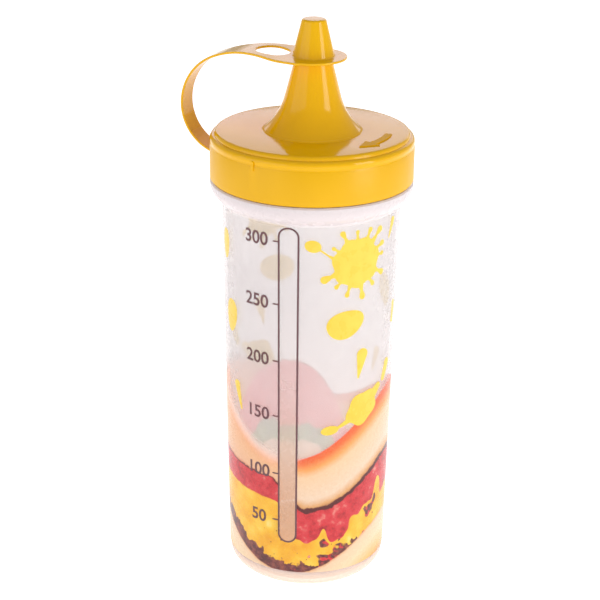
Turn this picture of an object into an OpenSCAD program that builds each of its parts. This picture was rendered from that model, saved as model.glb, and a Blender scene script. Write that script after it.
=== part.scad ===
// Squeeze sauce bottle: a translucent bottle with a printed film moulded into its wall, a screw lid
// with a conical nozzle, a sealing ring, and a tip cap tied to the lid by a strap.
// The origin is the centre of the base, +Z is up, and the strap leaves the lid towards -X.
// Millimetres.

/* [Bottle] */
// Outside radius of the wall, carried down to the base
base_r = 27.7; // [27:0.1:28.5]
// Outside radius of the wall under the collar
wall_top_r = 30.6; // [30.3:0.1:31]
// Radius of the rounded corner between the wall and the base
base_round = 6.2; // [4:0.1:8]
// Height of the collar's lower edge
collar_z = 137.6; // [137:0.1:138.2]
// Rounding of the collar from its side down to its lower edge
collar_round = 6.8; // [6:0.1:7]
// Thickness of the wall
wall_t = 1.3; // [1:0.1:1.5]
// Thickness of the base
floor_t = 1.6; // [1.4:0.1:2.4]
// Depth of the ring-shaped groove under the base
groove_depth = 0.6; // [0.3:0.1:0.8]
// Thickness of the printed film
film_t = 0.15; // [0.1:0.01:0.2]
// Height of the film's lower edge
film_z0 = 7.2; // [7:0.1:12]
// Height of the film's upper edge
film_z1 = 136.6; // [120:0.1:137]

/* [Neck and thread] */
// Outside radius of the neck
neck_r = 31; // [30.8:0.1:31.2]
// Height of the neck's rim
neck_z = 158.6; // [157.6:0.1:158.7]
// Rise of the thread in one turn
pitch = 5; // [4:0.5:6]
// Turns of the thread
thread_turns = 1.6; // [1:0.1:1.6]
// Height of the thread's start
thread_z = 147.5; // [147.2:0.1:148]
// Height of the thread's ridge above its wall
thread_h = 1.2; // [0.8:0.1:1.2]

/* [Lid] */
// Outside radius of the lid's skirt and of the bottle's collar
lid_r = 34.6; // [34.3:0.1:35]
// Height of the skirt's lower edge
lid_z0 = 144.9; // [144.8:0.1:145.4]
// Height of the lid's top face
lid_z1 = 161.5; // [161.4:0.1:163]
// Thickness of the lid's walls
lid_t = 1.8; // [1.5:0.1:1.9]
// Radius of the raised tier round the top face
tier_r = 33.1; // [32.8:0.1:33.4]
// Height of the tier
tier_h = 1.4; // [1.3:0.1:1.6]
// Rounding of the tier's edge
tier_round = 1.2; // [0.6:0.1:1.3]

/* [Nozzle] */
// Outside radius of the nozzle just under the tip cap
nozzle_r = 5.8; // [5.7:0.1:6]
// Angle of the nozzle's wall from the vertical
nozzle_angle = 14.5; // [13:0.5:15]
// Height where the flare at the nozzle's foot starts
flare_z = 173; // [171:0.5:175]
// Radius of the flare
flare_round = 21.5; // [20:0.5:24]
// Thickness of the nozzle's wall
nozzle_t = 1.6; // [1.2:0.1:1.8]
// Height of the nozzle's tip
tip_z = 196.8; // [195:0.1:196.9]
// Radius of the outlet
outlet_r = 1.3; // [1:0.1:1.6]

/* [Tip cap] */
// Height of the underside of the flange
flange_z = 187.4; // [187:0.1:187.8]
// Thickness of the flange, the tab and the strap
strap_t = 0.8; // [0.8:0.1:1.2]
// Radius of the flange
flange_r = 12; // [11.5:0.1:12.6]
// How far the flange's centre lies off the nozzle's axis, towards the strap
flange_shift = 0.8; // [0:0.1:1.2]
// Outside radius of the cap's cone where it stands on the flange
cap_r = 7; // [6.9:0.1:7.3]
// Outside radius of the cap's top
cap_top_r = 4.2; // [4:0.1:4.4]
// Height of the cap's top
cap_z = 199.1; // [199:0.1:201]
// Gap between the nozzle's tip and the cap
cap_gap = 0.3; // [0.25:0.05:0.4]
// Radius of the round hole in the tab
hole_r = 5.9; // [4:0.1:6]
// Distance from the nozzle's axis to the hole's centre
hole_at = 14.5; // [14:0.1:15]

/* [Strap] */
// Width of the band
band_w = 8.4; // [7:0.1:9]
// Width of the tab where it meets the flange
tab_w = 25.2; // [20:0.1:25.6]
// Length over which the tab narrows to the band
taper = 38; // [30:0.5:39]
// Space between two links of the strap
link_gap = 1; // [0.9:0.1:1.4]

/* [Hidden] */
$fn = 96;

yellow = [0.94, 0.72, 0.1];
frosted = [0.9, 0.88, 0.9, 0.6];
print_cream = [0.93, 0.85, 0.7];
seal_white = [0.92, 0.92, 0.9];

// How far a cutter reaches past the face it cuts.
past = 1;

// Groove under the base: radius of its middle line, and its width.
groove_r = 15;
groove_w = 6;

// Collar under the lid: its top clears the lid's skirt, and a groove parts it from the neck.
collar_gap = 0.25;
collar_top_z = lid_z0 - collar_gap;
collar_t = 1.5;
moat_z = 141;
edge = 0.5;

// Neck's bore, which the bottle's inside widens up to.
neck_bore_r = wall_top_r - wall_t;

// Inside of the lid.
lid_bore_r = lid_r - lid_t;
ceiling_z = lid_z1 - lid_t;

// Sealing ring between the neck's rim and the lid's ceiling.
seal_gap = 0.1;
seal_r = neck_r + 0.6;
seal_lip = 1;
seal_lip_t = 0.8;
seal_lip_gap = 0.3;

// Thread ridge: width at its root and at its crest, how deep it is set into its wall, steps in a
// turn, the turns over which each end fades out, and the share of its height left at the very end.
ridge_root_w = 2.2;
ridge_crest_w = 1;
ridge_set = 0.2;
thread_steps = 40;
fade_turns = 0.08;
fade_floor = 0.05;

// Nozzle: the point where the straight cone meets the flare, and the flare's centre.
shoulder_gap = 0.2;
shoulder_z = flange_z - shoulder_gap;
nozzle_slope = tan(nozzle_angle);
cone_r = nozzle_r + (flange_z - flare_z) * nozzle_slope;
flare_x = cone_r + flare_round * cos(nozzle_angle);
flare_cz = flare_z + flare_round * sin(nozzle_angle);
outlet_land = 1.2;
tip_round = 0.6;

// Tip cap: its bore runs parallel to its cone and ends a little above the nozzle's tip.
cap_base_z = flange_z + strap_t;
cap_slope = (cap_r - cap_top_r) / (cap_z - cap_base_z);
cap_bore_r = 5.45;
cap_clearance = 1;
cap_bore_z = tip_z + cap_clearance;
cap_edge = 0.9;
function bore_at(z) = cap_bore_r - (z - flange_z) * cap_slope;

// Shallow line round the skirt, under its rounded shoulder.
line_z = 157.3;
line_h = 1.6;
line_d = 0.2;

// Marks on the lid: the pointer on the skirt and the turn arrow on the top face.
pointer_angle = -103;
pointer_w = 0.8;
pointer_z = 158.6;
pointer_h = 3.2;
pointer_d = 0.4;
arrow_r = 26;
arrow_w = 2.4;
arrow_h = 0.4;
arrow_start = -20;
arrow_sweep = 28;
arrow_head = 6;
arrow_lean = 0.7;
arrow_join = 0.1;

// The strap's centreline from the nozzle's axis to the lid's skirt, seen from the side: each stretch
// is [length, degrees that it turns downwards]. Steps of a stretch, steps of the tab's outline, and
// how far the hole's cutter reaches above and below the flange.
bends = [[8, 0], [5, -7], [10, 12], [12.5, 18.5], [20.5, 62], [22.7, 77.5]];
bend_steps = 6;
tab_steps = 16;
hole_reach = 6;
strap_z = flange_z + strap_t / 2;
// Distances along the centreline to the hinges between the links, and how deep the strap's end is
// set into the skirt.
crown_at = 33;
shoulder_at = 46.5;
side_at = 60;
root_at = 73;
set_in = 1.2;

// Sum of the first i values of a list.
function sum_to(list, i) = i <= 0 ? 0 : list[i - 1] + sum_to(list, i - 1);
lengths = [for (b = bends) b[0]];
turns = [for (b = bends) b[1]];
strap_end = sum_to(lengths, len(bends));

// The stretch that holds the distance s, the turn so far there, and the point there as [x, z].
// Within a stretch the turn grows evenly, so the stretch is an arc.
function stretch(s, i = 0) = (i == len(bends) - 1 || s <= sum_to(lengths, i + 1)) ? i : stretch(s, i + 1);
function turn_at(s) = let (i = stretch(s))
    sum_to(turns, i) + turns[i] * min(1, (s - sum_to(lengths, i)) / lengths[i]);
function chord(a, l, t) = l * (abs(t) < 0.01 ? 1 : sin(t / 2) / (t / 2 * PI / 180))
    * [-cos(a + t / 2), -sin(a + t / 2)];
function point_before(i) = i <= 0 ? [0, strap_z]
    : point_before(i - 1) + chord(sum_to(turns, i - 1), lengths[i - 1], turns[i - 1]);
function point_at(s) = let (i = stretch(s), l = s - sum_to(lengths, i))
    point_before(i) + chord(sum_to(turns, i), l, turn_at(s) - sum_to(turns, i));
// Half the width of the tab and band at the distance s.
function ease(t) = t * t * (3 - 2 * t);
function half_w(s) = band_w / 2 + (tab_w - band_w) / 2 * (1 - ease(min(1, s / taper)));

// Points of an arc about c, from angle a0 to a1.
function arc(c, r, a0, a1, n = 8) = [for (i = [0:n])
    let (a = a0 + (a1 - a0) * i / n) c + r * [cos(a), sin(a)]];
// Outside radius of the bottle's wall at height z, with the film on it.
function wall_r(z) = base_r + (wall_top_r - base_r) * z / collar_z;

// A helical ridge standing off a wall of radius r. dir is 1 outwards and -1 inwards.
module ridge(r, dir) {
    n = round(thread_steps * thread_turns);
    fade = function (i) min(1, fade_floor + min(i, n - i) / thread_steps / fade_turns);
    ring = function (i) let (a = 360 * i / thread_steps, z = thread_z + pitch * i / thread_steps)
        [for (p = [[-ridge_set, -ridge_root_w / 2], [-ridge_set, ridge_root_w / 2],
                   [thread_h * fade(i), ridge_crest_w / 2], [thread_h * fade(i), -ridge_crest_w / 2]])
            [(r + dir * p[0]) * cos(a), (r + dir * p[0]) * sin(a), z + p[1]]];
    points = [for (i = [0:n]) each ring(i)];
    sides = [for (i = [0:n - 1], k = [0:3]) let (a = 4 * i + k, b = 4 * i + (k + 1) % 4)
        each (dir < 0 ? [[a, b, b + 4], [a, b + 4, a + 4]] : [[b, a, b + 4], [b + 4, a, a + 4]])];
    last = 4 * n;
    ends = dir < 0 ? [[3, 2, 1, 0], [last, last + 1, last + 2, last + 3]]
                   : [[0, 1, 2, 3], [last + 3, last + 2, last + 1, last]];
    polyhedron(points, concat(sides, ends), convexity = 6);
}

module bottle_body() {
    skin = function (z) wall_r(z) - film_t;
    foot = skin(base_round) - base_round;
    bowl = base_round - wall_t;
    bowl_r = skin(base_round) - wall_t - bowl;
    collar_in = lid_r - collar_round;
    collar_angle = acos((skin(collar_z) - collar_in) / collar_round);
    collar_cz = collar_z + collar_round * sin(collar_angle);
    color(frosted) {
        difference() {
            rotate_extrude(convexity = 6) polygon(concat(
                [[0, 0]],
                arc([foot, base_round], base_round, -90, 0),
                arc([collar_in, collar_cz], collar_round, -collar_angle, 0),
                [[lid_r, collar_top_z - edge], [lid_r - edge, collar_top_z],
                 [lid_r - collar_t, collar_top_z], [lid_r - collar_t, moat_z], [neck_r, moat_z],
                 [neck_r, neck_z - edge], [neck_r - edge, neck_z], [neck_bore_r, neck_z],
                 [neck_bore_r, collar_z]],
                arc([bowl_r, floor_t + bowl], bowl, 0, -90),
                [[0, floor_t]]));
            translate([0, 0, -past]) difference() {
                cylinder(r = groove_r + groove_w / 2, h = past + groove_depth);
                cylinder(r = groove_r - groove_w / 2, h = past + groove_depth);
            }
        }
        ridge(neck_r, 1);
    }
}

module label_film() {
    color(print_cream) rotate_extrude(convexity = 4) polygon([
        [wall_r(film_z0) - film_t, film_z0], [wall_r(film_z0), film_z0],
        [wall_r(film_z1), film_z1], [wall_r(film_z1) - film_t, film_z1]]);
}

module screw_lid() {
    step_z = lid_z1 - tier_h;
    step_round = lid_r - tier_r;
    line_round = (pow(line_h / 2, 2) + pow(line_d, 2)) / 2 / line_d;
    line_angle = asin(line_h / 2 / line_round);
    foot_angle = asin((flare_cz - lid_z1) / flare_round);
    inner_flare = flare_round + nozzle_t;
    inner_angle = asin((flare_cz - ceiling_z) / inner_flare);
    color(yellow) {
        rotate_extrude(convexity = 8) polygon(concat(
            [[lid_bore_r, lid_z0], [lid_r - edge, lid_z0], [lid_r, lid_z0 + edge]],
            arc([lid_r + line_round - line_d, line_z], line_round, 180 + line_angle, 180 - line_angle, 6),
            arc([tier_r, step_z - step_round], step_round, 0, 90, 6),
            arc([tier_r - tier_round, lid_z1 - tier_round], tier_round, 0, 90, 5),
            arc([flare_x, flare_cz], flare_round, 180 + foot_angle, 180 + nozzle_angle, 12),
            [[nozzle_r + (flange_z - shoulder_z) * nozzle_slope, shoulder_z],
             [bore_at(shoulder_z) - cap_gap, shoulder_z]],
            arc([bore_at(tip_z) - cap_gap - tip_round, tip_z - tip_round],
                tip_round, atan(cap_slope), 90, 4),
            [[outlet_r, tip_z], [outlet_r, tip_z - outlet_land],
             [nozzle_r - nozzle_t / cos(nozzle_angle), flange_z]],
            arc([flare_x, flare_cz], inner_flare, 180 + nozzle_angle, 180 + inner_angle, 12),
            [[lid_bore_r, ceiling_z]]));
        rotate([0, 0, 180]) ridge(lid_bore_r, -1);
        strap_piece(root_at + link_gap / 2, strap_end + set_in);
        rotate([0, 0, pointer_angle]) translate([lid_r - pointer_d, -pointer_w / 2, pointer_z - pointer_h])
            cube([2 * pointer_d, pointer_w, pointer_h]);
        turn_arrow();
    }
}

// Raised arrow on the top face that shows which way the lid turns to close.
module turn_arrow() {
    translate([0, 0, lid_z1 - arrow_h]) {
        rotate([0, 0, arrow_start]) rotate_extrude(angle = arrow_sweep)
            translate([arrow_r - arrow_w / 2, 0]) square([arrow_w, 2 * arrow_h]);
        rotate([0, 0, arrow_start]) linear_extrude(2 * arrow_h) polygon([
            [arrow_r - arrow_head / 2, arrow_join], [arrow_r + arrow_head / 2, arrow_join],
            [arrow_r - arrow_lean, -arrow_head]]);
    }
}

module lid_seal() {
    low = neck_z + seal_gap;
    high = ceiling_z - seal_gap;
    lip_r = neck_bore_r - seal_lip_gap;
    color(seal_white) rotate_extrude(convexity = 4) polygon([
        [lip_r - seal_lip_t, low - seal_lip], [lip_r, low - seal_lip], [lip_r, low],
        [seal_r, low], [seal_r, high], [lip_r - seal_lip_t, high]]);
}

// The strap between two distances along its centreline, as wide as the band.
module strap_piece(s0, s1, w = band_w) {
    n = max(2, ceil((s1 - s0) / strap_end * len(bends) * bend_steps));
    side = function (k) [for (i = [0:n]) let (s = s0 + (s1 - s0) * i / n, a = turn_at(s))
        point_at(s) + k * strap_t / 2 * [-sin(a), cos(a)]];
    back = function (list) [for (i = [len(list) - 1:-1:0]) list[i]];
    rotate([90, 0, 0]) translate([0, 0, -w / 2]) linear_extrude(w, convexity = 6)
        polygon(concat(side(1), back(side(-1))));
}

// The tab's outline from above, cut to the distance s1.
module tab_outline(s1) {
    n = tab_steps;
    at = [for (i = [0:n]) s1 * i / n];
    translate([-flange_shift, 0]) circle(r = flange_r);
    polygon(concat([for (s = at) [point_at(s)[0], half_w(s)]],
                   [for (i = [n:-1:0]) [point_at(at[i])[0], -half_w(at[i])]]));
}

module strap_lower() {
    color(yellow) strap_piece(side_at + link_gap / 2, root_at - link_gap / 2);
}

module strap_side() {
    color(yellow) strap_piece(shoulder_at + link_gap / 2, side_at - link_gap / 2);
}

module strap_shoulder() {
    color(yellow) intersection() {
        strap_piece(crown_at + link_gap / 2, shoulder_at - link_gap / 2, 2 * half_w(crown_at));
        linear_extrude(cap_z) {
            tab_outline(taper);
            translate([-2 * lid_r, -band_w / 2]) square([1.5 * lid_r, band_w]);
        }
    }
}

module tip_cap() {
    color(yellow) difference() {
        union() {
            translate([0, 0, flange_z]) linear_extrude(strap_t)
                translate([-flange_shift, 0]) circle(r = flange_r);
            intersection() {
                strap_piece(0, crown_at - link_gap / 2, tab_w);
                linear_extrude(cap_z) tab_outline(taper);
            }
            translate([0, 0, flange_z]) rotate_extrude() polygon(concat(
                [[0, 0], [cap_r, 0], [cap_r, strap_t]],
                arc([cap_top_r - cap_edge, cap_z - cap_edge - flange_z], cap_edge, atan(cap_slope), 90, 6),
                [[0, cap_z - flange_z]]));
        }
        translate([0, 0, flange_z - past])
            cylinder(r1 = bore_at(flange_z - past), r2 = bore_at(cap_bore_z),
                h = cap_bore_z - flange_z + past);
        translate([-hole_at, 0, flange_z - hole_reach]) cylinder(r = hole_r, h = 2 * hole_reach);
    }
}

bottle_body();
label_film();
screw_lid();
lid_seal();
strap_lower();
strap_side();
strap_shoulder();
tip_cap();
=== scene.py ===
import math

import bmesh
import bpy
from mathutils import Matrix, Vector


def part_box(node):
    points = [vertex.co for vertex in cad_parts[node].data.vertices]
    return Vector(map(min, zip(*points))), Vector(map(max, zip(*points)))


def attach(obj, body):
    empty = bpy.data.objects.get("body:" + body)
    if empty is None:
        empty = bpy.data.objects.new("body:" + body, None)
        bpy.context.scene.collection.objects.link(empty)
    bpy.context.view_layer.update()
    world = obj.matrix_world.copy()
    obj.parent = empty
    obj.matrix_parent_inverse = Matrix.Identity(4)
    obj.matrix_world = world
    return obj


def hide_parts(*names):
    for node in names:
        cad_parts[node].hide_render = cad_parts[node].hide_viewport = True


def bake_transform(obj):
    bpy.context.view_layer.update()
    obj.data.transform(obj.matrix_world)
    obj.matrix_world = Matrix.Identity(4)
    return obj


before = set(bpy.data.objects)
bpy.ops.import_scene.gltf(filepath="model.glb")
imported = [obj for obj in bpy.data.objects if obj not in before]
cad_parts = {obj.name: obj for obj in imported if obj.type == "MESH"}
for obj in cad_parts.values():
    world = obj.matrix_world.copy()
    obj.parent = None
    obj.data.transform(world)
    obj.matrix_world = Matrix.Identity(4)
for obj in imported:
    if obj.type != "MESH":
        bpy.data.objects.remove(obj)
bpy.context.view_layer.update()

MM = 0.001
# The lower and upper corners of the CAD pieces' boxes, in mm.
_, BOTTLE_HIGH = (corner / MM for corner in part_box("bottle_body"))
FILM_LOW, FILM_HIGH = (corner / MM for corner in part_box("label_film"))
CAP_LOW, CAP_HIGH = (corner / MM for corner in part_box("tip_cap"))

# The strap bends in the XZ plane, and the camera stands this far round from the -Y axis.
VIEW_TURN = math.radians(20.6)
FACING = VIEW_TURN - math.pi / 2

# Heights in metres: the upper edge of the lid's skirt, and the band that holds the arrow's face.
SKIRT_TOP = 0.158
ARROW_LOW, ARROW_TOP = 0.1617, 0.1621


# ---------------------------------------------------------------- camera, floor and light

def make_camera():
    """The photo's camera, as fitted to the object's outline: metres and radians."""
    distance, height = 0.5726, 0.3231
    pitch, roll, yaw = 0.372, -0.013, -0.006
    right = Vector((math.cos(yaw), -math.sin(yaw), 0))
    ahead = Vector((math.sin(yaw) * math.cos(pitch), math.cos(yaw) * math.cos(pitch),
                    -math.sin(pitch)))
    up = Vector((math.sin(yaw) * math.sin(pitch), math.cos(yaw) * math.sin(pitch), math.cos(pitch)))
    tilted_right = math.cos(roll) * right - math.sin(roll) * up
    tilted_up = math.sin(roll) * right + math.cos(roll) * up
    spin = Matrix.Rotation(VIEW_TURN, 3, "Z")
    axes = Matrix((spin @ tilted_right, spin @ tilted_up, spin @ -ahead)).transposed().to_4x4()
    axes.translation = spin @ Vector((0, -distance, height))
    data = bpy.data.cameras.new("camera")
    data.lens = 105.6
    data.sensor_width = 36
    camera = bpy.data.objects.new("camera", data)
    camera.matrix_world = axes
    bpy.context.scene.collection.objects.link(camera)
    bpy.context.scene.camera = camera


def softbox(name, turn, distance, height, size, radiance, colour, aim=0.12):
    """A soft light that stands at an angle from the camera's side of the object and faces it."""
    data = bpy.data.lights.new(name, "AREA")
    data.shape = "RECTANGLE"
    data.size, data.size_y = size
    data.energy = radiance * math.pi * size[0] * size[1]
    data.color = colour
    light = bpy.data.objects.new(name, data)
    angle = FACING + math.radians(turn)
    place = Vector((distance * math.cos(angle), distance * math.sin(angle), height))
    light.location = place
    light.rotation_euler = (Vector((0, 0, aim)) - place).to_track_quat("-Z", "Y").to_euler()
    bpy.context.scene.collection.objects.link(light)


def make_stage():
    """A floor that glows a little, as a light table does, a white room and three soft lights."""
    bpy.ops.mesh.primitive_plane_add(size=12)
    floor = bpy.context.object
    floor.name = "floor"
    paint = Paint("floor_paper")
    paint.set("Roughness", 0.9)
    paint.set("Specular IOR Level", 0.1)
    grain = paint.noise(paint.texture("Object"), 40, 2)
    paper = paint.ramp(grain, [(0.3, (0.93, 0.925, 0.92)), (0.7, (0.95, 0.945, 0.94))])
    paint.link("Base Color", paper)
    paint.set("Emission Color", (1, 0.985, 0.985, 1))
    paint.set("Emission Strength", 0.72)
    paint.dress(floor)
    world = bpy.data.worlds.new("studio")
    world.use_nodes = True
    background = world.node_tree.nodes["Background"]
    background.inputs["Color"].default_value = (1, 0.985, 0.98, 1)
    background.inputs["Strength"].default_value = 0.46
    bpy.context.scene.world = world
    softbox("back_light", turn=180, distance=1.5, height=0.72, size=(1.9, 0.7),
            radiance=1.4, colour=(0.96, 0.86, 1))
    softbox("right_light", turn=58, distance=0.9, height=0.30, size=(0.34, 0.5),
            radiance=5.6, colour=(1, 0.99, 0.96))
    softbox("left_light", turn=-58, distance=1.1, height=0.36, size=(1.3, 0.6),
            radiance=1.25, colour=(1, 0.97, 0.96))
    bpy.context.scene.view_settings.view_transform = "Standard"


# ---------------------------------------------------------------- materials

class Paint:
    """A material, with short calls for the nodes that its pattern needs."""

    def __init__(self, name):
        self.material = bpy.data.materials.new(name)
        self.material.use_nodes = True
        self.tree = self.material.node_tree
        self.shader = self.tree.nodes["Principled BSDF"]

    def set(self, socket, value):
        self.shader.inputs[socket].default_value = value

    def link(self, socket, source):
        self.tree.links.new(source, self.shader.inputs[socket])

    def dress(self, *objects):
        for o in objects:
            o.data.materials.clear()
            o.data.materials.append(self.material)

    def node(self, kind, **settings):
        n = self.tree.nodes.new(kind)
        for key, value in settings.items():
            setattr(n, key, value)
        return n

    def feed(self, socket, value):
        if isinstance(value, bpy.types.NodeSocket):
            self.tree.links.new(value, socket)
        elif isinstance(value, tuple):
            socket.default_value = (*value, 1) if len(socket.default_value) == 4 else value
        else:
            socket.default_value = value

    def math(self, operation, *values, clamp=False):
        n = self.node("ShaderNodeMath", operation=operation, use_clamp=clamp)
        for socket, value in zip(n.inputs, values):
            self.feed(socket, value)
        return n.outputs[0]

    def add(self, a, b):
        return self.math("ADD", a, b)

    def sub(self, a, b):
        return self.math("SUBTRACT", a, b)

    def mul(self, a, b):
        return self.math("MULTIPLY", a, b)

    def texture(self, output):
        return self.node("ShaderNodeTexCoord").outputs[output]

    def height(self):
        """Height above the table of the unmoved shape, in metres."""
        split = self.node("ShaderNodeSeparateXYZ")
        self.feed(split.inputs[0], self.texture("Object"))
        return split.outputs["Z"]

    def scaled(self, vector, scale):
        n = self.node("ShaderNodeMapping")
        self.feed(n.inputs["Vector"], vector)
        n.inputs["Scale"].default_value = scale
        return n.outputs["Vector"]

    def noise(self, vector, scale, detail=2, rough=0.5):
        n = self.node("ShaderNodeTexNoise")
        self.feed(n.inputs["Vector"], vector)
        n.inputs["Scale"].default_value = scale
        n.inputs["Detail"].default_value = detail
        n.inputs["Roughness"].default_value = rough
        return n.outputs["Fac"]

    def ramp(self, value, stops):
        n = self.node("ShaderNodeValToRGB")
        self.feed(n.inputs["Fac"], value)
        band = n.color_ramp
        while len(band.elements) < len(stops):
            band.elements.new(0.5)
        for element, (place, colour) in zip(band.elements, stops):
            element.position = place
            element.color = (*colour, 1)
        return n.outputs["Color"]

    def span(self, value, low, high, to_low=0.0, to_high=1.0):
        """value from low..high carried to to_low..to_high with soft ends."""
        n = self.node("ShaderNodeMapRange", interpolation_type="SMOOTHSTEP")
        for socket, v in zip(n.inputs, (value, low, high, to_low, to_high)):
            self.feed(socket, v)
        return n.outputs["Result"]

    def mix(self, share, a, b):
        n = self.node("ShaderNodeMix", data_type="RGBA")
        self.feed(n.inputs["Factor"], share)
        self.feed(n.inputs["A"], a)
        self.feed(n.inputs["B"], b)
        return n.outputs["Result"]

    def blend_values(self, share, a, b):
        n = self.node("ShaderNodeMix", data_type="FLOAT")
        self.feed(n.inputs["Factor"], share)
        self.feed(n.inputs["A"], a)
        self.feed(n.inputs["B"], b)
        return n.outputs["Result"]

    def bump(self, height, distance, strength=1.0):
        n = self.node("ShaderNodeBump")
        n.inputs["Strength"].default_value = strength
        n.inputs["Distance"].default_value = distance
        self.feed(n.inputs["Height"], height)
        self.link("Normal", n.outputs["Normal"])


def yellow_plastic():
    """Glossy moulded polyethylene: slight flow marks in its colour and gloss, and faint ripples."""
    p = Paint("yellow_plastic")
    place = p.texture("Object")
    flow = p.noise(p.scaled(place, (1, 1, 0.35)), 55, 3)
    p.link("Base Color", p.ramp(flow, [(0.3, (0.80, 0.435, 0.002)), (0.7, (0.86, 0.475, 0.003))]))
    # Satin up to the skirt's upper edge, glossy over it, and matt on the lid's arrow.
    z, soft = p.height(), 0.0001
    gloss = p.span(z, SKIRT_TOP - 0.002, SKIRT_TOP, 0.34, 0.10)
    arrow = p.mul(p.span(z, ARROW_LOW, ARROW_LOW + soft), p.span(z, ARROW_TOP, ARROW_TOP - soft))
    gloss = p.add(gloss, p.mul(arrow, 0.5))
    p.link("Roughness", p.add(gloss, p.span(p.noise(place, 420, 2), 0.3, 0.7, 0.0, 0.06)))
    p.set("IOR", 1.34)
    p.bump(p.noise(place, 160, 2), 0.00002)
    return p


def frosted_plastic():
    """Translucent polypropylene: milky, satin, and clear enough to see the far wall as a blur."""
    p = Paint("frosted_wall")
    place = p.texture("Object")
    cloud = p.noise(p.scaled(place, (1, 1, 0.5)), 30, 3)
    milk = p.ramp(cloud, [(0.3, (0.92, 0.87, 0.885)), (0.7, (0.95, 0.91, 0.92))])
    # Both ends are denser: the foot, which the base closes, and the collar, with the neck in it.
    z = p.height()
    foot = p.span(z, 0.0075, 0.0055)
    collar = p.span(z, 0.1365, 0.1380)
    milk = p.mix(p.mul(collar, 0.8), milk, (0.72, 0.645, 0.66))
    p.link("Base Color", p.mix(p.mul(foot, 0.7), milk, (0.84, 0.62, 0.46)))
    p.link("Roughness", p.span(p.noise(place, 300, 2), 0.3, 0.7, 0.24, 0.30))
    p.link("Alpha", p.add(p.add(0.30, p.mul(foot, 0.5)), p.mul(collar, 0.62)))
    p.set("IOR", 1.49)
    return p


def seal_foam():
    """The pale closed-cell foam of the ring that seals the lid."""
    p = Paint("seal_foam")
    cells = p.noise(p.texture("Object"), 1500, 3)
    p.link("Base Color", p.ramp(cells, [(0.3, (0.80, 0.79, 0.76)), (0.7, (0.90, 0.89, 0.87))]))
    p.set("Roughness", 0.7)
    p.bump(cells, 0.00005)
    return p


def flat_ink(name, dark, light, gloss=0.3, with_painted_glow=False):
    """Printed ink between two close shades, with an optional painted glow in its own colour."""
    p = Paint(name)
    grain = p.noise(p.texture("Object"), 260, 3)
    colour = p.ramp(grain, [(0.3, dark), (0.7, light)])
    p.link("Base Color", colour)
    p.link("Roughness", p.span(grain, 0.3, 0.7, gloss, gloss + 0.08))
    # Painted glow: emission in the ink's own colour, standing for light coming through the film.
    if with_painted_glow:
        p.link("Emission Color", colour)
        p.set("Emission Strength", 0.9)
    return p


# ---------------------------------------------------------------- meshes

def new_object(name, mesh):
    o = bpy.data.objects.new(name, mesh)
    bpy.context.scene.collection.objects.link(o)
    return o


def smooth(mesh, angle=35):
    """Smooth shading, with edges sharper than angle kept crisp."""
    b = bmesh.new()
    b.from_mesh(mesh)
    bmesh.ops.recalc_face_normals(b, faces=b.faces)
    for face in b.faces:
        face.smooth = True
    for edge in b.edges:
        edge.smooth = not (edge.is_manifold and edge.calc_face_angle(0) > math.radians(angle))
    b.to_mesh(mesh)
    b.free()


def turned(name, outline, steps=192):
    """A closed outline of (radius, height) points in mm, turned about the Z axis."""
    b = bmesh.new()
    rings = []
    for i in range(steps):
        a = 2 * math.pi * i / steps
        rings.append([b.verts.new((r * MM * math.cos(a), r * MM * math.sin(a), z * MM))
                      for r, z in outline])
    count = len(outline)
    for i in range(steps):
        here, there = rings[i], rings[(i + 1) % steps]
        for k in range(count):
            j = (k + 1) % count
            b.faces.new((here[k], there[k], there[j], here[j]))
    bmesh.ops.remove_doubles(b, verts=b.verts, dist=1e-7)
    mesh = bpy.data.meshes.new(name)
    b.to_mesh(mesh)
    b.free()
    smooth(mesh)
    return new_object(name, mesh)


def arc(centre, radius, start, end, steps=8):
    """Points (x, y) of an arc, between two angles in degrees."""
    out = []
    for i in range(steps + 1):
        a = math.radians(start + (end - start) * i / steps)
        out.append((centre[0] + radius * math.cos(a), centre[1] + radius * math.sin(a)))
    return out


# ---------------------------------------------------------------- the strap and the tip cap

STRAP_T = 0.8
# The centreline from the nozzle's axis to the lid: (length, degrees that it turns downwards).
BENDS = [(8, 0), (5, -7), (10, 12), (12.5, 18.5), (20.5, 62), (22.7, 77.5)]
STRAP_Z = CAP_LOW.z + STRAP_T / 2
# Distances along the centreline, in mm: where the cap's piece ends, the four hinges, the lid.
CAP_END = 26
CROWN, SHOULDER, SIDE, ROOT = 33, 46.5, 60, 73
STUB = 79.5
SLICE = 0.7
BAND_W, TAB_W, TAPER = 8.4, 25.2, 38
FLANGE_R, FLANGE_SHIFT = 12, 0.8
HOLE_R, HOLE_AT = 5.9, 14.5
CAP_R, CAP_TOP_R, BORE_R, BORE_Z = 7.0, 4.2, 5.45, 197.8
EDGE_ROUND = 0.22


def along_strap(s):
    """The centreline's point (x, z) and its turn in radians, at the distance s."""
    x, z, turn = 0.0, STRAP_Z, 0.0
    for i, (length, degrees) in enumerate(BENDS):
        last = i == len(BENDS) - 1
        part = s if last else min(s, length)
        bend = math.radians(degrees) * part / length
        chord = part if abs(bend) < 1e-6 else part * math.sin(bend / 2) / (bend / 2)
        x -= chord * math.cos(turn + bend / 2)
        z -= chord * math.sin(turn + bend / 2)
        turn += bend
        s -= part
        if s <= 0 and not last:
            break
    return x, z, turn


def half_width(s):
    """Half the strap's width at the distance s, which eases from the tab's to the band's."""
    t = min(1, max(0, s / TAPER))
    return BAND_W / 2 + (TAB_W - BAND_W) / 2 * (1 - t * t * (3 - 2 * t))


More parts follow.
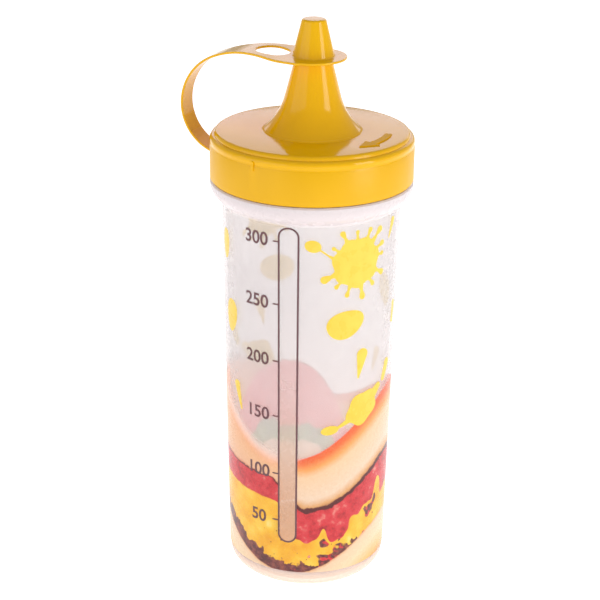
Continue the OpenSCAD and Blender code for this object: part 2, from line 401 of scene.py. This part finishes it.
def tab_outline():
    """The strap laid flat, as (distance, across): the round flange, the taper and the band."""
    far, steps, gap = STUB + 4, 60, 4
    side = [(far * i / steps, half_width(far * i / steps)) for i in range(1, steps + 1)]
    round_end = arc((FLANGE_SHIFT, 0), FLANGE_R, 270 - gap, 90 + gap, 40)
    return round_end + side + [(s, -w) for s, w in reversed(side)]


def flat_plate(name):
    """The whole strap as a flat plate with rounded edges and its round hole."""
    curve = bpy.data.curves.new(name, "CURVE")
    curve.dimensions = "2D"
    curve.fill_mode = "BOTH"
    curve.extrude = (STRAP_T / 2 - EDGE_ROUND) * MM
    curve.bevel_depth = EDGE_ROUND * MM
    curve.bevel_resolution = 3
    curve.offset = -EDGE_ROUND * MM
    hole = arc((HOLE_AT, 0), HOLE_R, 0, 352.5, 47)
    for points in (tab_outline(), hole):
        spline = curve.splines.new("POLY")
        spline.points.add(len(points) - 1)
        for point, (x, y) in zip(spline.points, points):
            point.co = (x * MM, y * MM, 0, 1)
        spline.use_cyclic_u = True
    o = new_object(name, curve)
    bpy.context.view_layer.update()
    mesh = bpy.data.meshes.new_from_object(o)
    bpy.data.objects.remove(o)
    return mesh


def strap_piece(name, plate, low, high):
    """The part of the plate between two distances, bent along the centreline."""
    b = bmesh.new()
    b.from_mesh(plate)
    bmesh.ops.remove_doubles(b, verts=b.verts, dist=1e-6)
    for place, outward in ((low, -1), (high, 1)):
        if place is not None:
            cut = bmesh.ops.bisect_plane(b, geom=b.verts[:] + b.edges[:] + b.faces[:], dist=1e-7,
                                         plane_co=(place * MM, 0, 0), plane_no=(outward, 0, 0),
                                         clear_outer=True)
            edges = [e for e in cut["geom_cut"] if isinstance(e, bmesh.types.BMEdge)]
            bmesh.ops.edgeloop_fill(b, edges=edges)
    start = -FLANGE_R if low is None else low
    end = STUB if high is None else high
    count = max(2, round((end - start) / SLICE))
    for i in range(1, count):
        bmesh.ops.bisect_plane(b, geom=b.verts[:] + b.edges[:] + b.faces[:], dist=1e-7,
                               plane_co=((start + (end - start) * i / count) * MM, 0, 0),
                               plane_no=(1, 0, 0))
    for v in b.verts:
        x, z, turn = along_strap(max(0, v.co.x / MM))
        if v.co.x < 0:
            x -= v.co.x / MM
        lift = v.co.z / MM
        v.co = (Vector((x - lift * math.sin(turn), v.co.y / MM, z + lift * math.cos(turn)))) * MM
    mesh = bpy.data.meshes.new(name)
    b.to_mesh(mesh)
    b.free()
    smooth(mesh)
    return new_object(name, mesh)


def strap_point(s):
    """The centreline's point at the distance s, in metres."""
    x, z, _ = along_strap(s)
    return (x * MM, 0, z * MM)


def cap_cone():
    """The hollow cone, closed at the top, that stands on the flange."""
    base, top = CAP_LOW.z, CAP_HIGH.z
    slope = (CAP_R - CAP_TOP_R) / (top - base - STRAP_T)
    tilt = math.degrees(math.atan(slope))
    edge, foot, tip, sunk = 0.9, 0.4, 0.5, 0.02
    outline = [(BORE_R, base), (CAP_R + foot, base), (CAP_R + foot, base + STRAP_T - sunk)]
    outline += arc((CAP_R + foot, base + STRAP_T + foot), foot, 270, 180 + tilt, 5)
    outline += arc((CAP_TOP_R - edge, top - edge), edge, tilt, 90, 7)
    outline += [(0.0, top), (0.0, BORE_Z)]
    outline += arc((BORE_R - (BORE_Z - base) * slope - tip, BORE_Z - tip), tip, 90, tilt, 4)
    return turned("cap_cone", outline, 128)


def combine(keep, other, operation):
    """keep becomes the union of both solids, or what is left of it without the other."""
    m = keep.modifiers.new("combine", "BOOLEAN")
    m.operation = operation
    m.solver = "EXACT"
    m.object = other
    bpy.context.view_layer.update()
    evaluated = keep.evaluated_get(bpy.context.evaluated_depsgraph_get())
    shape = bpy.data.meshes.new_from_object(evaluated)
    keep.modifiers.clear()
    keep.data = shape
    bpy.data.objects.remove(other)


def make_strap(paint):
    """The strap in five pieces, cut between its hinges. The first is rigid and holds the cone."""
    plate = flat_plate("plate")
    middles = [CAP_END, (CROWN + SHOULDER) / 2, (SHOULDER + SIDE) / 2, (SIDE + ROOT) / 2]
    cap = strap_piece("cap_with_tab", plate, None, middles[0])
    drill_r, under, over = BORE_R + 0.5, CAP_LOW.z - 3, CAP_LOW.z + 1.2
    bore = turned("bore", [(0, under), (drill_r, under), (drill_r, over), (0, over)], 128)
    combine(cap, bore, "DIFFERENCE")
    combine(cap, cap_cone(), "UNION")
    smooth(cap.data, 40)
    paint.dress(cap)
    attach(cap, "cap")
    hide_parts("tip_cap")
    # The other pieces each lie across one hinge. There are four of them, for three CAD links.
    links = [("strap_crown_bend", "cap", "strap_high", None),
             ("strap_shoulder_bend", "strap_high", "strap_mid", "strap_shoulder"),
             ("strap_side_bend", "strap_mid", "strap_low", "strap_side"),
             ("strap_root_bend", "strap_low", "lid", "strap_lower")]
    for (name, near, far, node), low, high in zip(links, middles, middles[1:] + [STUB]):
        piece = strap_piece(name, plate, low, high)
        paint.dress(piece)
        strap_point(low + 0.5)
        strap_point(high - 0.5)
        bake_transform(piece)
        if node:
            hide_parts(node)


# ---------------------------------------------------------------- the wall's print

# In mm: the wall's outside radius, with the film, at the table and where the collar begins.
WALL_LOW_R = 27.7
WALL_TOP_R = 30.6
COLLAR_Z = 137.6
WALL_T = 1.3
FILM_T = 0.15
BASE_ROUND = 6.2
COLLAR_R, COLLAR_ROUND = 34.6, 6.8
FLOOR_T = 1.6
# The level window: degrees round from the camera's side, and mm.
WINDOW_AT = -13.8
WINDOW_HALF = 3.4
WINDOW_LOW, WINDOW_HIGH = 18.8, 136.5
LINE_W = 0.6
NUMBERS_AT = -36.5
INK_LIFT = 0.03
# Heights of the level marks, in mm, for each 50 ml.
LEVELS = (27.3, 45.5, 67.5, 88.1, 108.9, 131.2)


def wall_r(z):
    """The wall's outside radius at a height, both in mm."""
    return WALL_LOW_R + (WALL_TOP_R - WALL_LOW_R) * z / COLLAR_Z


def on_wall(degrees, z, lift):
    """The point in metres on the wall, at an angle from the side that faces the camera."""
    a = FACING + math.radians(degrees)
    r = wall_r(z) + lift
    return Vector((r * math.cos(a), r * math.sin(a), z)) * MM


def print_film():
    """The clear film with the picture printed on it: a closed sleeve over the wall."""
    around, up = 240, 60
    b = bmesh.new()
    uv = b.loops.layers.uv.new("wall")
    low, high = FILM_LOW.z, FILM_HIGH.z
    # Thinner than the room for the film, so its inner side doesn't touch the wall.
    thick = 0.08

    def ring(z, lift):
        return [b.verts.new(on_wall(-180 + 360 * i / around, z, lift)) for i in range(around)]

    levels = [(low + (high - low) * k / up) for k in range(up + 1)]
    outer = [ring(z, 0) for z in levels]
    inner = [ring(z, -thick) for z in (high, low)]
    rows = outer + inner
    heights = levels + [high, low]
    for k in range(len(rows)):
        below, above = rows[k], rows[(k + 1) % len(rows)]
        for i in range(around):
            j = (i + 1) % around
            face = b.faces.new((below[i], below[j], above[j], above[i]))
            spots = ((i, k), (i + 1, k), (i + 1, k + 1), (i, k + 1))
            for loop, (column, row) in zip(face.loops, spots):
                loop[uv].uv = (-180 + 360 * column / around, heights[row % len(heights)])
    mesh = bpy.data.meshes.new("print_film")
    b.to_mesh(mesh)
    b.free()
    smooth(mesh, 60)
    return new_object("print_film", mesh)


def picture(name, with_painted_glow):
    """A long sandwich seen from the side, in layers: bun, burnt crust, tomato, cheese, meat, bun.

    The film's inner side gets a painted glow: it emits the picture's colours, for the room's light
    through the ink.
    """
    p = Paint(name)
    uv = p.node("ShaderNodeUVMap", uv_map="wall").outputs["UV"]
    split = p.node("ShaderNodeSeparateXYZ")
    p.feed(split.inputs[0], uv)
    turn, z = split.outputs["X"], split.outputs["Y"]
    # The sandwich is lowest at its waist, 14 degrees left of the middle, and swells to both sides.
    t = p.mul(p.add(turn, 14.0), math.pi / 180)
    sine = p.math("SINE", t)
    swell = p.mul(sine, sine)
    steep = p.math("POWER", p.math("ABSOLUTE", sine), 3.0)
    left = p.span(sine, 0.25, -0.25)
    # Noise that closes on itself round the bottle, in mm.
    place = p.texture("Object")
    wide = p.sub(p.noise(place, 90, 2), 0.5)
    fine = p.sub(p.noise(place, 380, 3), 0.5)
    rough = p.add(p.mul(wide, 14.0), p.mul(fine, 5.0))

    def line(waist, rise, ripple):
        """An edge between layers: its height at the waist, its rise at the sides, its ripple."""
        return p.add(p.add(waist, p.mul(swell, rise)), p.mul(fine, ripple))

    top = line(51.5, 22.0, 0.5)
    crust_right = p.add(31.6, p.mul(steep, 16.0))
    crust_left = p.add(43.5, p.mul(swell, 3.0))
    crust = p.add(p.blend_values(left, crust_right, crust_left), p.mul(fine, 2.2))
    crust_t = p.blend_values(left, 1.7, 0.5)
    drip = p.mul(p.span(p.noise(p.scaled(place, (1, 1, 0.25)), 75, 2), 0.38, 0.62), 13.0)
    tomato_right = p.add(p.add(1.5, drip), p.mul(rough, 0.6))
    tomato_left = p.add(8.5, p.mul(fine, 3.0))
    tomato_low = p.sub(crust, p.blend_values(left, tomato_right, tomato_left))
    bun_low = line(6.5, 17.0, 1.0)
    meat_right, meat_left = p.add(0.6, p.mul(rough, 1.5)), p.add(5.0, p.mul(rough, 0.9))
    meat_top = p.add(bun_low, p.blend_values(left, meat_right, meat_left))

    # Bun: an orange-red glaze at its top edge, then cream, then toast towards the crust.
    depth = p.math("DIVIDE", p.sub(top, z), p.sub(top, crust))
    bun_right = p.ramp(depth, [(0.0, (0.78, 0.10, 0.03)), (0.10, (0.80, 0.14, 0.03)),
                               (0.24, (0.86, 0.36, 0.10)), (0.38, (0.84, 0.58, 0.36)),
                               (0.80, (0.82, 0.62, 0.46)), (0.93, (0.70, 0.36, 0.14)),
                               (1.0, (0.3, 0.06, 0.02))])
    bun_left = p.ramp(depth, [(0.0, (0.86, 0.55, 0.42)), (0.25, (0.83, 0.42, 0.22)),
                              (0.6, (0.83, 0.47, 0.26)), (0.92, (0.80, 0.46, 0.28)),
                              (1.0, (0.6, 0.12, 0.06))])
    bun = p.mix(left, bun_right, bun_left)
    seeds = p.span(p.noise(place, 900, 2), 0.35, 0.7)
    bun = p.mix(p.mul(seeds, 0.12), bun, (0.70, 0.40, 0.16))
    tomato = p.ramp(p.noise(place, 260, 3, 0.6),
                    [(0.3, (0.36, 0.012, 0.02)), (0.48, (0.62, 0.03, 0.04)),
                     (0.60, (0.66, 0.05, 0.06)), (0.74, (0.82, 0.30, 0.24))])
    cheese = p.ramp(p.noise(place, 150, 3),
                    [(0.3, (0.80, 0.36, 0.015)), (0.5, (0.88, 0.47, 0.025)),
                     (0.68, (0.91, 0.58, 0.06)), (0.8, (0.93, 0.72, 0.22))])
    specks = p.span(p.noise(place, 520, 1), 0.72, 0.76)
    cheese = p.mix(specks, cheese, (0.20, 0.05, 0.02))
    meat = p.ramp(p.noise(place, 420, 4, 0.65),
                  [(0.3, (0.06, 0.012, 0.015)), (0.5, (0.15, 0.035, 0.035)),
                   (0.7, (0.32, 0.09, 0.06))])
    base_depth = p.math("DIVIDE", p.sub(bun_low, z), 16.0)
    low_bun = p.ramp(base_depth, [(0.0, (0.74, 0.40, 0.20)), (0.08, (0.83, 0.60, 0.40)),
                                  (0.45, (0.85, 0.66, 0.42)), (0.8, (0.84, 0.50, 0.17)),
                                  (1.0, (0.78, 0.30, 0.06))])

    def below(edge, soft=0.25):
        """One under the edge and zero over it."""
        return p.span(p.sub(edge, z), -soft, soft)

    # A second, round sandwich stands on the far side, over the long one.
    around = p.mul(p.sub(turn, 200.0), math.pi / 180)
    round_x = p.mul(p.math("SINE", around), wall_r(40))
    square = p.mul(round_x, round_x)
    fall = p.sub(p.mul(square, -0.02), p.mul(p.mul(square, square), 0.00007))
    round_top = p.add(p.add(65.0, fall), p.mul(fine, 1.5))
    lettuce_top = p.add(p.add(41.0, p.mul(fall, 0.4)), p.mul(wide, 12.0))
    lower_top = p.add(p.add(32.0, p.mul(fall, 0.4)), p.mul(wide, 12.0))
    sauce = p.ramp(p.noise(place, 120, 3), [(0.3, (0.82, 0.05, 0.08)), (0.7, (0.88, 0.17, 0.19))])
    lettuce = p.ramp(p.noise(place, 240, 3), [(0.3, (0.05, 0.22, 0.06)), (0.7, (0.22, 0.46, 0.12))])
    loaf = p.ramp(p.math("DIVIDE", z, 32.0), [(0.1, (0.76, 0.33, 0.10)), (0.9, (0.86, 0.62, 0.38))])
    round_one = p.mix(below(lower_top), p.mix(below(lettuce_top), sauce, lettuce), loaf)
    far_side = p.mul(p.span(p.math("COSINE", around), 0.0, 0.1), below(round_top, 1.0))

    colour = bun
    colour = p.mix(below(p.add(crust, p.mul(crust_t, 0.5))), colour, (0.10, 0.012, 0.012))
    colour = p.mix(below(p.sub(crust, p.mul(crust_t, 0.5))), colour, tomato)
    colour = p.mix(below(tomato_low), colour, cheese)
    colour = p.mix(below(meat_top), colour, meat)
    patches = p.span(p.noise(place, 62, 3), 0.565, 0.58)
    in_cheese = p.mul(p.mul(below(p.sub(tomato_low, 2.0)), patches), p.sub(1.0, left))
    colour = p.mix(in_cheese, colour, p.mix(p.span(fine, 0.0, 0.06), meat, tomato))
    colour = p.mix(below(bun_low), colour, low_bun)
    colour = p.mix(far_side, colour, round_one)

    # Ink covers everything under the bun's top edge, and fades out softly on the left.
    edge_soft = p.blend_values(left, 0.3, 5.0)
    ink = p.span(p.sub(top, z), p.mul(edge_soft, -1.0), edge_soft)
    ink = p.math("MAXIMUM", ink, far_side)
    # The level window stays clear: the distance to its middle line, less its half width.
    sideways = p.mul(p.sub(turn, WINDOW_AT), math.pi / 180 * (WALL_LOW_R + 1.0))
    middle = p.math("MINIMUM", z, WINDOW_HIGH - WINDOW_HALF)
    upwards = p.sub(z, p.math("MAXIMUM", middle, WINDOW_LOW + WINDOW_HALF))
    away = p.math("SQRT", p.add(p.mul(sideways, sideways), p.mul(upwards, upwards)))
    outside = p.span(away, WINDOW_HALF - 0.4, WINDOW_HALF - 0.2)
    ink = p.mul(ink, outside)
    film_haze_and_painted_view = p.span(p.noise(place, 22, 2), 0.35, 0.7, 0.14, 0.30)
    film_tint_and_painted_view = p.ramp(p.noise(p.scaled(place, (1, 1, 0.6)), 26, 1),
                  [(0.35, (0.90, 0.89, 0.89)), (0.65, (0.90, 0.82, 0.83))])
    # Painted see-through view: in the level window the film turns orange-brown and more opaque
    # towards its lower end, standing for the far side's bun seen through the wall.
    painted_view_mask = p.mul(p.sub(1.0, outside), p.span(z, 105.0, 20.0))
    film_tint_and_painted_view = p.mix(painted_view_mask, film_tint_and_painted_view, (0.74, 0.42, 0.24))
    film_haze_and_painted_view = p.add(film_haze_and_painted_view, p.mul(painted_view_mask, 0.5))
    p.link("Base Color", p.mix(ink, film_tint_and_painted_view, colour))
    p.link("Alpha", ink if with_painted_glow else p.math("MAXIMUM", ink, film_haze_and_painted_view))
    p.link("Roughness", p.span(p.noise(place, 500, 2), 0.3, 0.7, 0.22, 0.3))
    # Painted glow: the inner side emits the picture's colours, standing for the room's light coming
    # through the ink.
    if with_painted_glow:
        p.link("Emission Color", p.mix(ink, (0, 0, 0), colour))
        p.set("Emission Strength", 0.75)
    return p


class Shape:
    """A flat shape on the unrolled wall, as a signed distance in mm that is negative inside."""

    def __init__(self, field, box):
        self.field, self.box = field, box

    def __or__(self, other):
        a, b = self.box, other.box
        return Shape(lambda x, y: min(self.field(x, y), other.field(x, y)),
                     (min(a[0], b[0]), min(a[1], b[1]), max(a[2], b[2]), max(a[3], b[3])))


def limb(x0, y0, r0, x1, y1, r1):
    """A stroke between two round ends of their own radii."""
    dx, dy = x1 - x0, y1 - y0
    long2 = dx * dx + dy * dy or 1e-9

    def field(x, y):
        t = min(1, max(0, ((x - x0) * dx + (y - y0) * dy) / long2))
        return math.hypot(x - x0 - t * dx, y - y0 - t * dy) - (r0 + (r1 - r0) * t)
    r = max(r0, r1)
    return Shape(field, (min(x0, x1) - r, min(y0, y1) - r, max(x0, x1) + r, max(y0, y1) + r))


def blob(x0, y0, rx, ry, tilt=0.0, wobble=0.0, lobes=5, phase=0.0):
    """A rounded patch: an ellipse whose edge swells in lobes."""
    c, s = math.cos(math.radians(tilt)), math.sin(math.radians(tilt))

    def field(x, y):
        u = (c * (x - x0) + s * (y - y0)) / rx
        v = (-s * (x - x0) + c * (y - y0)) / ry
        edge = 1 + wobble * math.sin(lobes * math.atan2(v, u) + phase)
        return (math.hypot(u, v) - edge) * min(rx, ry)
    r = max(rx, ry) * (1 + abs(wobble))
    return Shape(field, (x0 - r, y0 - r, x0 + r, y0 + r))


def splat(x0, y0, r, arms):
    """A splash: a lobed middle, and thin arms (angle, reach, drop) with a drop at each end."""
    shape = blob(x0, y0, r, r * 0.96, wobble=0.05, lobes=7)
    for angle, reach, drop in arms:
        c, s = math.cos(math.radians(angle)), math.sin(math.radians(angle))
        root, neck, tip = ((x0 + away * c, y0 + away * s)
                           for away in (r * 0.82, r + reach - drop, r + reach))
        shape |= limb(*root, drop * 1.15, *neck, 0.28)
        shape |= limb(*neck, drop * 0.72, *tip, drop)
    return shape


def ink_mesh(name, shape, at, z0, cell=0.3):
    """The shape laid on the wall as a thin closed patch.

    Its own zero stands at the angle at and the height z0. It is cut out along the line where its
    signed distance, taken on a grid, changes sign.
    """
    margin = 0.5
    x_low, y_low = (v - margin for v in shape.box[:2])
    x_high, y_high = (v + margin for v in shape.box[2:])
    across, up = int((x_high - x_low) / cell) + 2, int((y_high - y_low) / cell) + 2
    value = [[shape.field(x_low + i * cell, y_low + j * cell) for j in range(up)]
             for i in range(across)]
    b = bmesh.new()
    made = {}

    def vertex(key, x, y):
        if key not in made:
            degrees = at + math.degrees(x / wall_r(z0))
            made[key] = b.verts.new(on_wall(degrees, z0 + y, INK_LIFT))
        return made[key]

    for i in range(across - 1):
        for j in range(up - 1):
            corners = [(i, j), (i + 1, j), (i + 1, j + 1), (i, j + 1)]
            loop = []
            for k in range(4):
                (ai, aj), (bi, bj) = corners[k], corners[(k + 1) % 4]
                fa, fb = value[ai][aj], value[bi][bj]
                if fa <= 0:
                    loop.append(vertex((ai, aj), x_low + ai * cell, y_low + aj * cell))
                if (fa <= 0) != (fb <= 0):
                    f = fa / (fa - fb)
                    key = (min((ai, aj), (bi, bj)), max((ai, aj), (bi, bj)))
                    i_cut, j_cut = ai + (bi - ai) * f, aj + (bj - aj) * f
                    loop.append(vertex(key, x_low + i_cut * cell, y_low + j_cut * cell))
            if len(loop) > 2:
                b.faces.new(loop)
    bmesh.ops.remove_doubles(b, verts=b.verts, dist=2e-6)
    return finish_ink(name, b)


def finish_ink(name, b, thick=0.02):
    """Gives a flat patch its thickness, outwards from the wall."""
    bmesh.ops.dissolve_degenerate(b, dist=1e-6, edges=b.edges)
    for face in b.faces:
        face.normal_update()
        middle = face.calc_center_median()
        if face.normal.dot(Vector((middle.x, middle.y, 0))) < 0:
            face.normal_flip()
    mesh = bpy.data.meshes.new(name)
    b.to_mesh(mesh)
    b.free()
    o = new_object(name, mesh)
    m = o.modifiers.new("thickness", "SOLIDIFY")
    m.thickness = thick * MM
    m.offset = 1
    bpy.context.view_layer.update()
    evaluated = o.evaluated_get(bpy.context.evaluated_depsgraph_get())
    shape = bpy.data.meshes.new_from_object(evaluated)
    o.modifiers.clear()
    o.data = shape
    smooth(o.data, 60)
    return o


def make_lid(paint):
    """The CAD lid without its short strap stub, which the bending strap's own end stands for."""
    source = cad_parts["screw_lid"]
    lid = new_object("lid_with_nozzle", source.data.copy())
    lid.data.transform(source.matrix_world)
    # A box beside the skirt, round the stub.
    middle, size = Vector((-44.7, 0, 155)), Vector((20, 20, 30))
    bpy.ops.mesh.primitive_cube_add(size=1)
    box = bpy.context.object
    box.data.transform(Matrix.LocRotScale(middle * MM, None, size * MM))
    combine(lid, box, "DIFFERENCE")
    smooth(lid.data, 30)
    paint.dress(lid)
    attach(lid, "lid")
    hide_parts("screw_lid")


def make_bottle(paint):
    """The wall, its rounded collar and the neck in one turned shape, and the neck's thread."""
    foot, bowl = BASE_ROUND, BASE_ROUND - WALL_T
    centre_r = wall_r(foot) - FILM_T - foot
    collar_in = COLLAR_R - COLLAR_ROUND
    lean = math.degrees(math.acos((wall_r(COLLAR_Z) - FILM_T - collar_in) / COLLAR_ROUND))
    collar_z = COLLAR_Z + COLLAR_ROUND * math.sin(math.radians(lean))
    # The neck stands in a moat behind the collar's rim.
    top, rim, moat_z, edge = 144.65, 1.5, 141.0, 0.5
    neck_r, bore_r, neck_z = 31.0, 29.3, BOTTLE_HIGH.z
    groove_in, groove_out, groove_z = 12.0, 18.0, 0.6
    steps = 24
    outline = [(0.0, 0.0), (groove_in, 0.0), (groove_in, groove_z), (groove_out, groove_z),
               (groove_out, 0.0)]
    outline += arc((centre_r, foot), foot, -90, 0, 12)
    for k in range(1, steps):
        z = foot + (COLLAR_Z - foot) * k / steps
        outline.append((wall_r(z) - FILM_T, z))
    outline += arc((collar_in, collar_z), COLLAR_ROUND, -lean, 0, 12)
    outline += [(COLLAR_R, top - edge), (COLLAR_R - edge, top), (COLLAR_R - rim, top),
                (COLLAR_R - rim, moat_z), (neck_r, moat_z), (neck_r, neck_z - edge),
                (neck_r - edge, neck_z), (bore_r, neck_z), (bore_r, COLLAR_Z)]
    for k in range(1, steps):
        t = k / steps
        outline.append((bore_r + (wall_r(foot) - FILM_T - WALL_T - bore_r) * t,
                        COLLAR_Z + (FLOOR_T + bowl - COLLAR_Z) * t))
    outline += arc((centre_r, FLOOR_T + bowl), bowl, 0, -90, 10) + [(0.0, FLOOR_T)]
    body = turned("bottle_wall", outline, 256)
    paint.dress(body)
    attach(body, "bottle")
    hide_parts("bottle_body")
    thread = helix("bottle_thread", neck_r)
    paint.dress(thread)
    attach(thread, "bottle")


def helix(name, r, start=147.5, pitch=5.0, turns=1.6, height=1.2):
    """The thread's ridge, which rises out of the neck and sinks back into it at both ends."""
    steps = 96
    count = round(turns * steps)
    b = bmesh.new()
    rings = []
    for i in range(count + 1):
        a = 2 * math.pi * i / steps
        z = start + pitch * i / steps
        rise = height * min(1, 0.05 + min(i, count - i) / 12)
        lower = [(r - 0.4, -1.2), (r + 0.05, -1.0), (r + rise, -0.3)]
        ring = lower + [(q, -d) for q, d in reversed(lower)]
        rings.append([b.verts.new(Vector((q * math.cos(a), q * math.sin(a), z + d)) * MM)
                      for q, d in ring])
    for near, far in zip(rings, rings[1:]):
        for k in range(len(near)):
            j = (k + 1) % len(near)
            b.faces.new((near[k], near[j], far[j], far[k]))
    b.faces.new(rings[0])
    b.faces.new(rings[-1])
    mesh = bpy.data.meshes.new(name)
    b.to_mesh(mesh)
    b.free()
    smooth(mesh)
    return new_object(name, mesh)


def stick(o, paint, inner_paint):
    """Fastens a printed shape to the wall, with its own paint on the faces that look inwards."""
    paint.dress(o)
    o.data.materials.append(inner_paint.material)
    for face in o.data.polygons:
        outwards = Vector((face.center.x, face.center.y, 0)).normalized()
        face.material_index = 1 if face.normal.dot(outwards) < -0.5 else 0
    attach(o, "bottle")


def level_numbers(paint, inner_paint, heights):
    """The scale's numbers, in millilitres, beside the window."""
    for ml, z0 in heights:
        curve = bpy.data.curves.new(f"number_{ml}", "FONT")
        curve.body = str(ml)
        curve.size = 6.4 * MM
        curve.offset = 0.1 * MM
        curve.align_x = "CENTER"
        curve.align_y = "CENTER"
        o = new_object(f"number_{ml}_flat", curve)
        bpy.context.view_layer.update()
        mesh = bpy.data.meshes.new_from_object(o)
        bpy.data.objects.remove(o)
        b = bmesh.new()
        b.from_mesh(mesh)
        for k in range(-12, 13):
            bmesh.ops.bisect_plane(b, geom=b.verts[:] + b.edges[:] + b.faces[:], dist=1e-8,
                                   plane_co=(k * 0.5 * MM, 0, 0), plane_no=(1, 0, 0))
        for v in b.verts:
            x, y = v.co.x / MM, v.co.y / MM
            v.co = on_wall(NUMBERS_AT + math.degrees(x / wall_r(z0)), z0 + y, INK_LIFT)
        stick(finish_ink(f"number_{ml}", b), paint, inner_paint)


def make_print():
    """The film with its picture, the level window with its marks and numbers, and the splashes."""
    film = print_film()
    stick(film, picture("print_outside", False), picture("print_inside_painted_glow", True))
    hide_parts("label_film")

    brown = flat_ink("brown_ink", (0.11, 0.045, 0.052), (0.15, 0.062, 0.072))
    heights = list(zip(range(50, 301, 50), LEVELS))
    span = WINDOW_HIGH - WINDOW_LOW - 2 * WINDOW_HALF
    body = limb(0, 0, WINDOW_HALF, 0, span, WINDOW_HALF)
    outline = Shape(lambda x, y: abs(body.field(x, y) + LINE_W / 2) - LINE_W / 2, body.box)
    window = ink_mesh("level_window", outline, WINDOW_AT, WINDOW_LOW + WINDOW_HALF, 0.25)
    stick(window, brown, brown)
    tick_w, tick_r = 1.9, 0.26
    for ml, z in heights:
        tick = limb(-WINDOW_HALF - tick_w, 0, tick_r, -WINDOW_HALF, 0, tick_r)
        stick(ink_mesh(f"level_tick_{ml}", tick, WINDOW_AT, z, 0.2), brown, brown)
    level_numbers(brown, brown, heights)

    lemon = ((0.86, 0.59, 0.045), (0.91, 0.66, 0.07), 0.25)
    yellow = flat_ink("yellow_ink", *lemon)
    # The yellow marks' inner faces get a painted glow.
    yellow_ink_painted_glow = flat_ink("yellow_ink_inside_painted_glow", *lemon, with_painted_glow=True)
    arms = [(6, 2.0, 0.8), (24, 2.8, 1.0), (47, 4.6, 1.2), (66, 2.8, 0.9), (92, 1.8, 0.7),
            (118, 3.2, 1.0), (146, 1.6, 0.7), (203, 3.6, 1.4), (226, 1.8, 0.8), (252, 2.6, 0.9),
            (281, 3.6, 1.2), (308, 2.0, 0.9), (333, 3.4, 1.1)]
    # A splash with a thrown drop on a thread, and a smaller one with a drop and a bulge.
    big = splat(0, 0, 9.0, arms) | blob(-15.6, 6.9, 2.8, 2.1, -14)
    big |= limb(-7.4, 1.5, 1.0, -10.5, 3.6, 0.25) | limb(-10.5, 3.6, 0.25, -13.0, 5.4, 0.3)
    second = blob(0, 0, 7.0, 5.6, 38, 0.07, 5) | blob(-12.5, -6.4, 3.2, 1.7, 8)
    second |= limb(-5.5, -3.5, 1.0, -9.5, -5.6, 0.5) | limb(4.5, 3.5, 2.0, 7.5, 6.0, 1.4)
    teardrop = limb(0.8, 3.4, 2.3, -0.6, -5.0, 0.3)
    # Each mark: name, shape, degrees round from the camera's side, height in mm.
    marks = [("splash_large", big, 31, 123.4), ("splash_small", second, 39.5, 69.2),
             ("drop_oval", blob(0, 0, 7.0, 5.0, 14, 0.04, 3, 1.0), 24, 101.7),
             ("drop_tall", teardrop, 36, 86.0),
             ("drop_right", limb(1.0, 2.6, 1.7, -1.2, -2.4, 1.2), 63, 79.5),
             ("drop_edge", limb(0.2, 3.4, 1.2, -0.4, -2.6, 1.0), 72, 99.5),
             ("drop_top", limb(0.8, 3.0, 1.2, -1.6, -2.6, 0.3), 62, 131.5),
             ("drop_left_high", blob(0, 0, 2.6, 5.4, 0, 0.05, 3), -70, 124.5),
             ("drop_left_low", blob(0, 0, 3.6, 6.0, -6, 0.05, 3), -63, 99.5),
             ("drop_left_foot", limb(0, 3.0, 1.6, 2.4, -5.4, 0.4), -57, 71.5)]
    for name, shape, at, z in marks:
        stick(ink_mesh(name, shape, at, z), yellow, yellow_ink_painted_glow)
        if name not in ("drop_edge", "drop_left_high"):
            stick(ink_mesh(name + "_back", shape, at + 180, z), yellow, yellow_ink_painted_glow)


# ---------------------------------------------------------------- the whole

make_camera()
make_stage()
plastic = yellow_plastic()
make_lid(plastic)
make_bottle(frosted_plastic())
seal_foam().dress(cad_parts["lid_seal"])
make_strap(plastic)
make_print()
